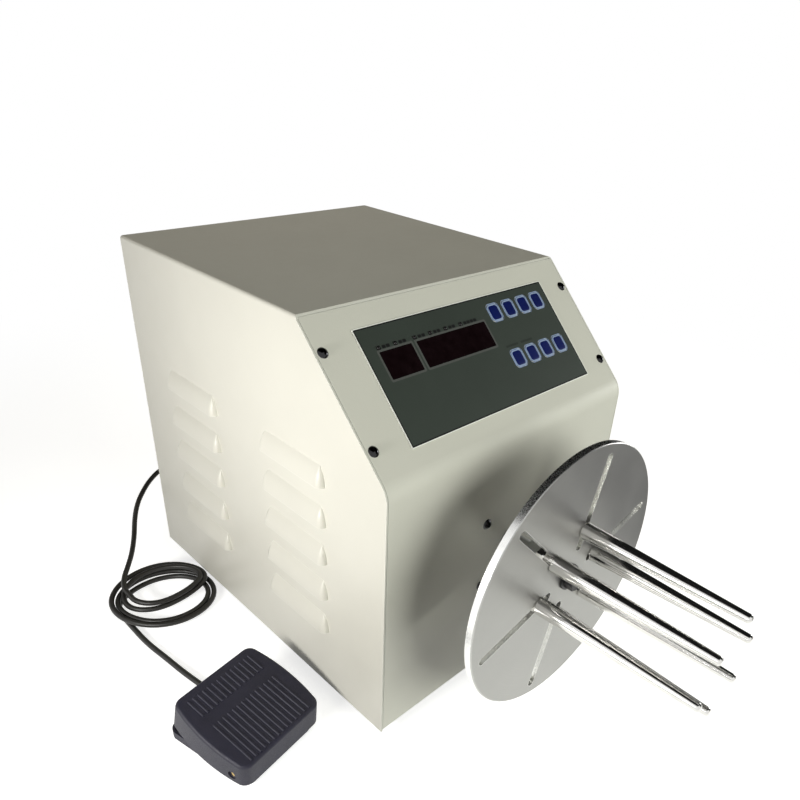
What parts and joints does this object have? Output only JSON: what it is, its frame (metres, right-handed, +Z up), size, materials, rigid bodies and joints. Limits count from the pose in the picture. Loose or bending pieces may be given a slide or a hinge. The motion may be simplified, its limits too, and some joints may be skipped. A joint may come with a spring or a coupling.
{
  "type": "cable winding machine",
  "caption": "Bench cable winding machine: folded case, slotted disc with sliding posts, belt drive, keys and displays on a slope, and a foot switch on a coiled cord.",
  "frame": {"origin": "on the table plane under the middle of the case's footprint", "axes": "+X to the right seen from the front, +Y to the rear, +Z up; the disc faces -Y"},
  "size_m": [0.4351, 0.6533, 0.36],
  "materials": {
    "case_paint": "satin",
    "disc_metal": "brushed",
    "post_metal": "polished",
    "steel": "satin",
    "black_steel": "blackened",
    "cast_metal": "cast",
    "motor_paint": "satin",
    "belt_rubber": "matt",
    "foot_rubber": "matt",
    "overlay": "matt film",
    "window": "gloss",
    "key_blue": "satin",
    "circuit": "satin",
    "black_plastic": "matt",
    "pedal_plastic": "fine moulded texture",
    "brass": "turned",
    "cord_cover": "satin"
  },
  "bodies": {
    "root": {"cover": "case_paint", "front_panel": "case_paint", "rear_panel": "case_paint", "base_pan": "case_paint", "case_screws": "steel", "panel_screws": "steel", "flange_screws": "steel", "bearing_outer_rings": "steel", "motor_bracket": "steel", "chassis_bolts": "steel", "pedal_spring": "steel", "bearing_housing": "cast_metal", "rear_bearing_block": "cast_metal", "transformer": "cast_metal", "motor_body": "motor_paint", "drive_belt": "belt_rubber", "case_feet": "foot_rubber", "panel_overlay": "overlay", "display_windows": "window", "control_board": "circuit", "drive_board": "circuit", "display_modules": "circuit", "count_sensor": "black_plastic", "mains_inlet": "black_plastic", "power_switch": "black_plastic", "cord_gland": "black_plastic", "pedal_switch": "black_plastic", "pedal_base": "pedal_plastic", "pedal_pin": "brass", "inlet_pins": "brass", "cord_rear": "cord_cover", "cord_coil": "cord_cover", "cord_pedal": "cord_cover"},
    "spindle": {"spindle": "steel", "disc_hub": "steel", "winding_disc": "disc_metal", "centre_bolt": "black_steel", "spindle_pulley": "steel", "bearing_inner_rings": "steel", "bearing_balls": "steel", "count_wheel": "steel"},
    "motor_rotor": {"motor_shaft": "steel", "motor_pulley": "steel"},
    "post_1": {"winding_post_1": "post_metal"},
    "post_2": {"winding_post_2": "post_metal"},
    "post_3": {"winding_post_3": "post_metal"},
    "post_4": {"winding_post_4": "post_metal"},
    "post_5": {"winding_post_5": "post_metal"},
    "post_6": {"winding_post_6": "post_metal"},
    "key_1": {"key_1": "key_blue"},
    "key_2": {"key_2": "key_blue"},
    "key_3": {"key_3": "key_blue"},
    "key_4": {"key_4": "key_blue"},
    "key_5": {"key_5": "key_blue"},
    "key_6": {"key_6": "key_blue"},
    "key_7": {"key_7": "key_blue"},
    "key_8": {"key_8": "key_blue"},
    "rocker": {"power_rocker": "black_plastic"},
    "treadle": {"pedal_treadle": "pedal_plastic"},
    "plunger": {"pedal_plunger": "black_plastic"}
  },
  "joints": [
    {"name": "spindle_spin", "type": "hinge", "parent": "root", "child": "spindle", "pos_m": [0, 0, 0.147], "axis": [0, 1, 0], "continuous": true},
    {"name": "motor_spin", "type": "hinge", "parent": "root", "child": "motor_rotor", "pos_m": [0.088, 0, 0.07], "axis": [0, 1, 0], "continuous": true},
    {"name": "post_1_slide", "type": "slide", "parent": "spindle", "child": "post_1", "axis": [0.9703, 0, 0.2419], "range_m": [-0.0065, 0.0745]},
    {"name": "post_2_slide", "type": "slide", "parent": "spindle", "child": "post_2", "axis": [0.2756, 0, 0.9613], "range_m": [-0.0155, 0.0655]},
    {"name": "post_3_slide", "type": "slide", "parent": "spindle", "child": "post_3", "axis": [-0.6947, 0, 0.7193], "range_m": [-0.009, 0.072]},
    {"name": "post_4_slide", "type": "slide", "parent": "spindle", "child": "post_4", "axis": [-0.9703, 0, -0.2419], "range_m": [-0.011, 0.07]},
    {"name": "post_5_slide", "type": "slide", "parent": "spindle", "child": "post_5", "axis": [-0.2756, 0, -0.9613], "range_m": [-0.009, 0.072]},
    {"name": "post_6_slide", "type": "slide", "parent": "spindle", "child": "post_6", "axis": [0.6947, 0, -0.7193], "range_m": [-0.013, 0.068]},
    {"name": "key_1_press", "type": "slide", "parent": "root", "child": "key_1", "axis": [0, 0.7071, -0.7071], "range_m": [0, 0.0005], "stiffness_N_per_m": 300, "springref_m": -0.002},
    {"name": "key_2_press", "type": "slide", "parent": "root", "child": "key_2", "axis": [0, 0.7071, -0.7071], "range_m": [0, 0.0005], "stiffness_N_per_m": 300, "springref_m": -0.002},
    {"name": "key_3_press", "type": "slide", "parent": "root", "child": "key_3", "axis": [0, 0.7071, -0.7071], "range_m": [0, 0.0005], "stiffness_N_per_m": 300, "springref_m": -0.002},
    {"name": "key_4_press", "type": "slide", "parent": "root", "child": "key_4", "axis": [0, 0.7071, -0.7071], "range_m": [0, 0.0005], "stiffness_N_per_m": 300, "springref_m": -0.002},
    {"name": "key_5_press", "type": "slide", "parent": "root", "child": "key_5", "axis": [0, 0.7071, -0.7071], "range_m": [0, 0.0005], "stiffness_N_per_m": 300, "springref_m": -0.002},
    {"name": "key_6_press", "type": "slide", "parent": "root", "child": "key_6", "axis": [0, 0.7071, -0.7071], "range_m": [0, 0.0005], "stiffness_N_per_m": 300, "springref_m": -0.002},
    {"name": "key_7_press", "type": "slide", "parent": "root", "child": "key_7", "axis": [0, 0.7071, -0.7071], "range_m": [0, 0.0005], "stiffness_N_per_m": 300, "springref_m": -0.002},
    {"name": "key_8_press", "type": "slide", "parent": "root", "child": "key_8", "axis": [0, 0.7071, -0.7071], "range_m": [0, 0.0005], "stiffness_N_per_m": 300, "springref_m": -0.002},
    {"name": "rocker_tip", "type": "hinge", "parent": "root", "child": "rocker", "pos_m": [0.095, 0.1893, 0.1], "axis": [1, 0, 0], "range_deg": [0, 20]},
    {"name": "treadle_press", "type": "hinge", "parent": "root", "child": "treadle", "pos_m": [-0.22326, -0.13338, 0.016], "axis": [-0.9833, -0.1822, 0], "range_deg": [0, 6.5], "stiffness_Nm_per_rad": 0.8, "springref_deg": -14.32, "deforming": ["pedal_spring"]},
    {"name": "plunger_press", "type": "slide", "parent": "root", "child": "plunger", "axis": [0, 0, -1], "range_m": [0, 0.0035]}
  ],
  "couplings": [
    {"joint": "motor_spin", "follows": "spindle_spin", "ratio": 3.043},
    {"joint": "plunger_press", "follows": "treadle_press", "m_per_rad": 0.028}
  ]
}
